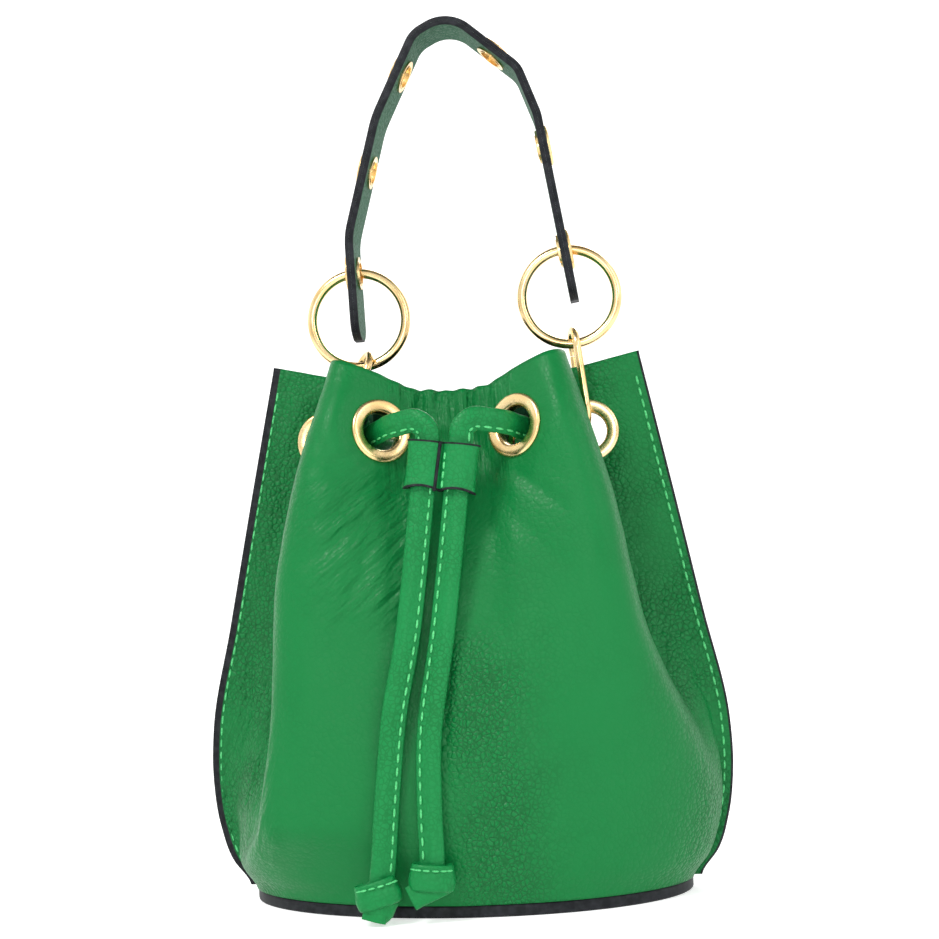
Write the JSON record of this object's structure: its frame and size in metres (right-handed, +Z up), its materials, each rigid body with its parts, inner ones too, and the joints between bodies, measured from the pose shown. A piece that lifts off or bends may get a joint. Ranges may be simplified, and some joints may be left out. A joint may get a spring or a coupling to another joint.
{
  "type": "bucket bag",
  "caption": "Small drawstring bucket bag: pebbled leather panels gathered on an oval sole, corded mouth grommets, and a short eyelet handle on metal rings and gate links.",
  "frame": {"origin": "centre of the underside of the oval sole, on the surface the bag stands on", "axes": "+Z up, -Y towards the front with the slider and tails, +X towards the right side seam as seen from the front"},
  "size_m": [0.2019, 0.126, 0.3407],
  "materials": {
    "panel_leather": "pebbled green leather, satin",
    "cord_leather": "smooth green leather, satin",
    "strap_leather": "green leather with black painted edges",
    "sole_leather": "green leather with a black painted edge",
    "board": "pressed fibreboard",
    "gold_hardware": "polished pale gold plating"
  },
  "bodies": {
    "bag": {"front_panel": "panel_leather", "back_panel": "panel_leather", "base_sole": "sole_leather", "base_board": "board", "grommet_front_left": "gold_hardware", "grommet_front_right": "gold_hardware", "grommet_back_left": "gold_hardware", "grommet_back_right": "gold_hardware", "side_grommet_front_left": "gold_hardware", "side_grommet_front_right": "gold_hardware", "side_grommet_back_left": "gold_hardware", "side_grommet_back_right": "gold_hardware", "washer_front_left": "gold_hardware", "washer_front_right": "gold_hardware", "washer_back_left": "gold_hardware", "washer_back_right": "gold_hardware", "side_washer_front_left": "gold_hardware", "side_washer_front_right": "gold_hardware", "side_washer_back_left": "gold_hardware", "side_washer_back_right": "gold_hardware", "drawstring": "cord_leather", "tail_left": "cord_leather", "tail_right": "cord_leather", "knot_left": "cord_leather", "knot_right": "cord_leather", "link_left": "gold_hardware", "link_right": "gold_hardware", "gate_pin_left": "gold_hardware", "gate_pin_right": "gold_hardware"},
    "ring_left": {"ring_left": "gold_hardware"},
    "ring_right": {"ring_right": "gold_hardware"},
    "gate_left": {"gate_left": "gold_hardware"},
    "gate_right": {"gate_right": "gold_hardware"},
    "slider": {"slider": "cord_leather"},
    "strap": {"strap_outer": "strap_leather", "strap_lining": "strap_leather", "eyelet_1": "gold_hardware", "eyelet_2": "gold_hardware", "eyelet_3": "gold_hardware", "eyelet_4": "gold_hardware", "eyelet_5": "gold_hardware", "eyelet_6": "gold_hardware", "eyelet_washers": "gold_hardware"}
  },
  "joints": [
    {"name": "handle_tilt", "type": "hinge", "parent": "bag", "child": "ring_left", "pos_m": [-0.0364, 0, 0.20535], "axis": [0.9981, 0, 0.0618], "range_deg": [-50, 50]},
    {"name": "strap_fold", "type": "hinge", "parent": "ring_left", "child": "strap", "pos_m": [-0.0387, 0, 0.24248], "axis": [0.9981, 0, 0.0618], "range_deg": [-30, 30]},
    {"name": "ring_right_tilt", "type": "hinge", "parent": "bag", "child": "ring_right", "pos_m": [0.04705, 0, 0.21052], "axis": [0.9981, 0, 0.0618], "range_deg": [-50, 50]},
    {"name": "gate_left_open", "type": "hinge", "parent": "bag", "child": "gate_left", "pos_m": [-0.04657, 0.00695, 0.19122], "axis": [0.8302, 0.3746, -0.4129], "range_deg": [0, 10], "stiffness_Nm_per_rad": 0.02, "springref_deg": -5.73},
    {"name": "gate_right_open", "type": "hinge", "parent": "bag", "child": "gate_right", "pos_m": [0.04796, 0.00743, 0.19337], "axis": [0.9838, 0.1392, 0.1127], "range_deg": [0, 10], "stiffness_Nm_per_rad": 0.02, "springref_deg": -5.73},
    {"name": "slider_slide", "type": "slide", "parent": "bag", "child": "slider", "axis": [-0.1286, -0.0594, -0.9899], "range_m": [0, 0.04]}
  ],
  "couplings": [
    {"joint": "ring_right_tilt", "follows": "handle_tilt", "ratio": 1}
  ]
}
